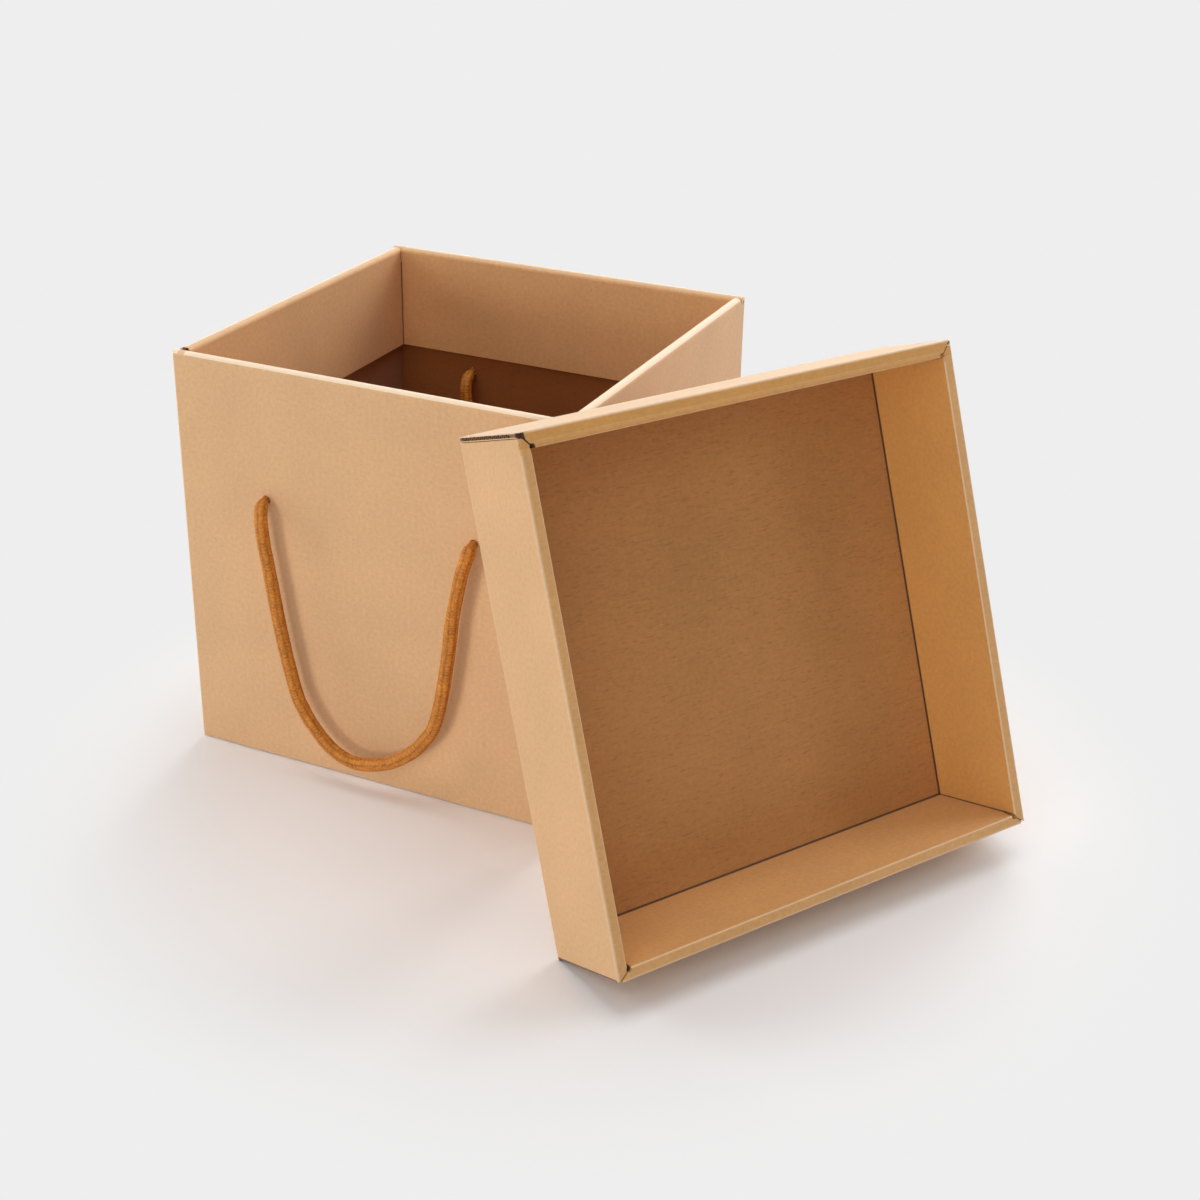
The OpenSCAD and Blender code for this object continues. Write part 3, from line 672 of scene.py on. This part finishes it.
def knot_surface(settings, end, turned):
    """Grid of a knot under a rope's end, and its stitch heights.

    The profile runs down from the rope's end: out and in again as half a sine over the bulb, then
    straight down the tail and in to its frayed end. The strands wind round the bulb, as ridges that
    follow a cosine of the angle times their number plus a turn down the bulb, and the stitches
    between them are lowered in the heights, so they take more of the painted groove shade.
    """
    down = np.linspace(0, KNOT_HEIGHT + KNOT_TAIL, KNOT_RINGS)[:, None]
    angle = np.linspace(0, math.tau, ROPE_SIDES, endpoint=False)[None, :]
    bulb = np.sin(math.pi * np.clip(down / KNOT_HEIGHT, 0, 1))
    wind = 0.5 + 0.5 * np.cos(KNOT_STRANDS * angle + math.tau * down / KNOT_HEIGHT)
    stitch = knit(down, angle, settings)
    rope = (settings.diameter / 2 - settings.relief * (1 - stitch)) / MM
    swell = KNOT_WIDTH / 2 - settings.diameter / 2 / MM
    radius = rope + swell * bulb * (1 - STRAND_DEPTH * (1 - wind))
    radius = radius * np.clip((KNOT_HEIGHT + KNOT_TAIL - down) / TAIL_TAPER + TAIL_END, 0, 1)
    x = end[0] + radius * np.cos(angle)
    y = end[1] - radius * np.sin(angle)
    z = np.broadcast_to(end[2] - down, radius.shape)
    # The stitch heights between the strands are lowered: painted shade in the grooves.
    return np.stack([turned * x, turned * y, z], axis=-1), stitch * (0.5 + 0.5 * np.maximum(wind, 1 - bulb))


class CARRYBOX_OT_boards(bpy.types.Operator):
    """Gives the box and the lid their kraft corrugated board"""

    bl_idname = "carrybox.boards"
    bl_label = "Boards"

    def execute(self, context):
        settings = context.scene.carry_box_board
        # The box's folds and rim tops take a strong painted highlight.
        box = board_material(
            "Kraft corrugated board, creased", settings, BOX_SIZE, BOX_RIM, inner=(1.7, FLAP_FOOT - 0.1),
            papers=(settings.outer, settings.inner, settings.flap), pale=(0.7, 0.7, 0.6),
            plain=BOX_SHADED_FOLDS, dark=BOX_FLUTES_AND_SHADE, corner=(-BOX_SIZE[0] / 2, -BOX_SIZE[1] / 2, 0))
        lid = board_material(
            "Kraft corrugated board, folded lid", settings, LID_SIZE, LID_RIM, inner=(4.6, BOARD + 0.3),
            papers=(settings.lid_outer, settings.plate, settings.turned_in_bounce_and_shade), pale=(0.25, 0.0, 0.35),
            plain=LID_SHADED_FOLDS, dark=LID_FLUTES_AND_SHADE, turn=lid_turn(), corner=LID_CORNER)
        for name, material in (("box_body", box), ("lid", lid)):
            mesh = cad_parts[name].data
            mesh.materials.clear()
            mesh.materials.append(material)
        return {"FINISHED"}


class CARRYBOX_OT_ropes(bpy.types.Operator):
    """Makes both knitted rope handles and the knots on their ends"""

    bl_idname = "carrybox.ropes"
    bl_label = "Rope handles"

    def execute(self, context):
        settings = context.scene.carry_box_rope
        material = rope_material(settings)
        for where, turned in (("front", 1), ("back", -1)):
            points, height, line, length = rope_surface(settings, turned)
            rope = surface_object(where + "_rope", points, height, material)
            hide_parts(where + "_rope_handle")
            for end, side in ((ROPE_ROUTE[0], -1), (ROPE_ROUTE[-1], 1)):
                hand = "right" if side * turned > 0 else "left"
                points, height = knot_surface(settings, end, turned)
                knot = surface_object(where + "_" + hand + "_rope_knot", points, height, material)
                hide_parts(where + "_" + hand + "_knot")
        return {"FINISHED"}


def softbox(name, width, place, power):
    """A square lamp at a place, facing the point that all lamps face."""
    lamp = bpy.data.lights.new(name, "AREA")
    lamp.shape = "SQUARE"
    lamp.size = width
    lamp.energy = power
    piece = bpy.data.objects.new(name, lamp)
    piece.location = place
    piece.rotation_euler = (Vector(LAMP_AIM) - Vector(place)).to_track_quat("-Z", "Y").to_euler()
    bpy.context.scene.collection.objects.link(piece)


def photo_camera(settings):
    """The camera at the photograph's viewing angle."""
    camera = bpy.data.cameras.new("Camera")
    camera.lens = settings.lens
    camera.shift_y = CAMERA_SHIFT
    view = bpy.data.objects.new("Camera", camera)
    tip = Matrix.Rotation(math.pi / 2 - CAMERA_PITCH, 3, "X")
    level = Matrix.Rotation(CAMERA_YAW, 3, "Z") @ tip
    view.rotation_euler = (level @ Matrix.Rotation(-CAMERA_ROLL, 3, "Z")).to_euler()
    view.location = CAMERA_PLACE
    bpy.context.scene.collection.objects.link(view)
    return view


def seen_directly(tree):
    """A mask of 1 for what the camera sees, also in a reflection or through something clear, and 0
    for what only lights something."""
    ray = add(tree, "ShaderNodeLightPath").outputs
    seen = ray["Is Camera Ray"]
    for other in ("Is Glossy Ray", "Is Transmission Ray"):
        seen = add(tree, "ShaderNodeMath", {0: seen, 1: ray[other]}, operation="MAXIMUM")
    return seen


def studio_world(settings):
    """Faint even light from all round, seen as the plain backdrop."""
    world = bpy.data.worlds.new("Studio")
    world.use_nodes = True
    tree = world.node_tree
    tree.nodes.clear()
    light = add(tree, "ShaderNodeBackground", {"Color": (1, 1, 1, 1), "Strength": settings.ambient})
    plain = add(tree, "ShaderNodeBackground", {"Color": settings.backdrop, "Strength": 1.0})
    mixed = add(tree, "ShaderNodeMixShader", {0: seen_directly(tree), 1: light, 2: plain})
    add(tree, "ShaderNodeOutputWorld", {"Surface": mixed})
    return world


def floor_material(settings):
    """White emulsion rolled on a smooth board: a flat, even white that takes soft shadows. Away from
    the box it turns into the plain backdrop for what looks at it."""
    material, tree = empty_material("Matte white paint, rolled")
    place = add(tree, "ShaderNodeTexCoord").outputs["Object"]
    place = add(tree, "ShaderNodeVectorMath", {0: place, 1: FADE_MIDDLE}, operation="SUBTRACT")
    far = add(tree, "ShaderNodeVectorMath", {0: place}, operation="LENGTH").outputs["Value"]
    far = add(tree, "ShaderNodeMapRange", {
        "Value": far, "From Min": FADE_START, "From Max": FADE_END, "To Min": 0.0, "To Max": 1.0},
        interpolation_type="SMOOTHSTEP")
    far = add(tree, "ShaderNodeMath", {0: far, 1: seen_directly(tree)}, operation="MULTIPLY")
    paint = add(tree, "ShaderNodeBsdfDiffuse", {"Color": settings.paint})
    plain = add(tree, "ShaderNodeEmission", {"Color": settings.backdrop, "Strength": 1.0})
    mixed = add(tree, "ShaderNodeMixShader", {0: far, 1: paint, 2: plain})
    add(tree, "ShaderNodeOutputMaterial", {"Surface": mixed})
    return material


class CARRYBOX_OT_stage(bpy.types.Operator):
    """Sets the camera, the lamps and the plain pale floor"""

    bl_idname = "carrybox.stage"
    bl_label = "Stage"

    def execute(self, context):
        settings = context.scene.carry_box_stage
        scene = context.scene
        scene.camera = photo_camera(settings)
        for name, width, place, power in LAMPS:
            softbox(name, width, place, getattr(settings, power))
        scene.world = studio_world(settings)

        half = FLOOR_HALF
        mesh = bpy.data.meshes.new("floor")
        corners = [(-half, -half, 0), (half, -half, 0), (half, half, 0), (-half, half, 0)]
        mesh.from_pydata(corners, [], [(0, 1, 2, 3)])
        mesh.materials.append(floor_material(settings))
        floor = bpy.data.objects.new("floor", mesh)
        scene.collection.objects.link(floor)
        scene.view_settings.view_transform = "Standard"
        return {"FINISHED"}


class CARRYBOX_PT_panel(bpy.types.Panel):
    """Lists the steps that dress the carry box"""

    bl_idname = "CARRYBOX_PT_panel"
    bl_label = "Carry Box"
    bl_space_type = "VIEW_3D"
    bl_region_type = "UI"
    bl_category = "Carry Box"

    def draw(self, context):
        for step in STEPS:
            self.layout.operator(step.bl_idname)


STEPS = (CARRYBOX_OT_stage, CARRYBOX_OT_ropes, CARRYBOX_OT_boards)
SETTINGS = {
    "carry_box_board": BoardSettings,
    "carry_box_rope": RopeSettings,
    "carry_box_stage": StageSettings,
}


def register():
    for group in SETTINGS.values():
        bpy.utils.register_class(group)
    for name, group in SETTINGS.items():
        setattr(bpy.types.Scene, name, bpy.props.PointerProperty(type=group))
    for kind in STEPS + (CARRYBOX_PT_panel,):
        bpy.utils.register_class(kind)


def unregister():
    for kind in reversed(STEPS + (CARRYBOX_PT_panel,)):
        bpy.utils.unregister_class(kind)
    for name, group in SETTINGS.items():
        delattr(bpy.types.Scene, name)
        bpy.utils.unregister_class(group)


def main():
    """Makes the stage and every piece."""
    register()
    bpy.ops.carrybox.stage()
    bpy.ops.carrybox.ropes()
    bpy.ops.carrybox.boards()


if __name__ == "__main__":
    main()
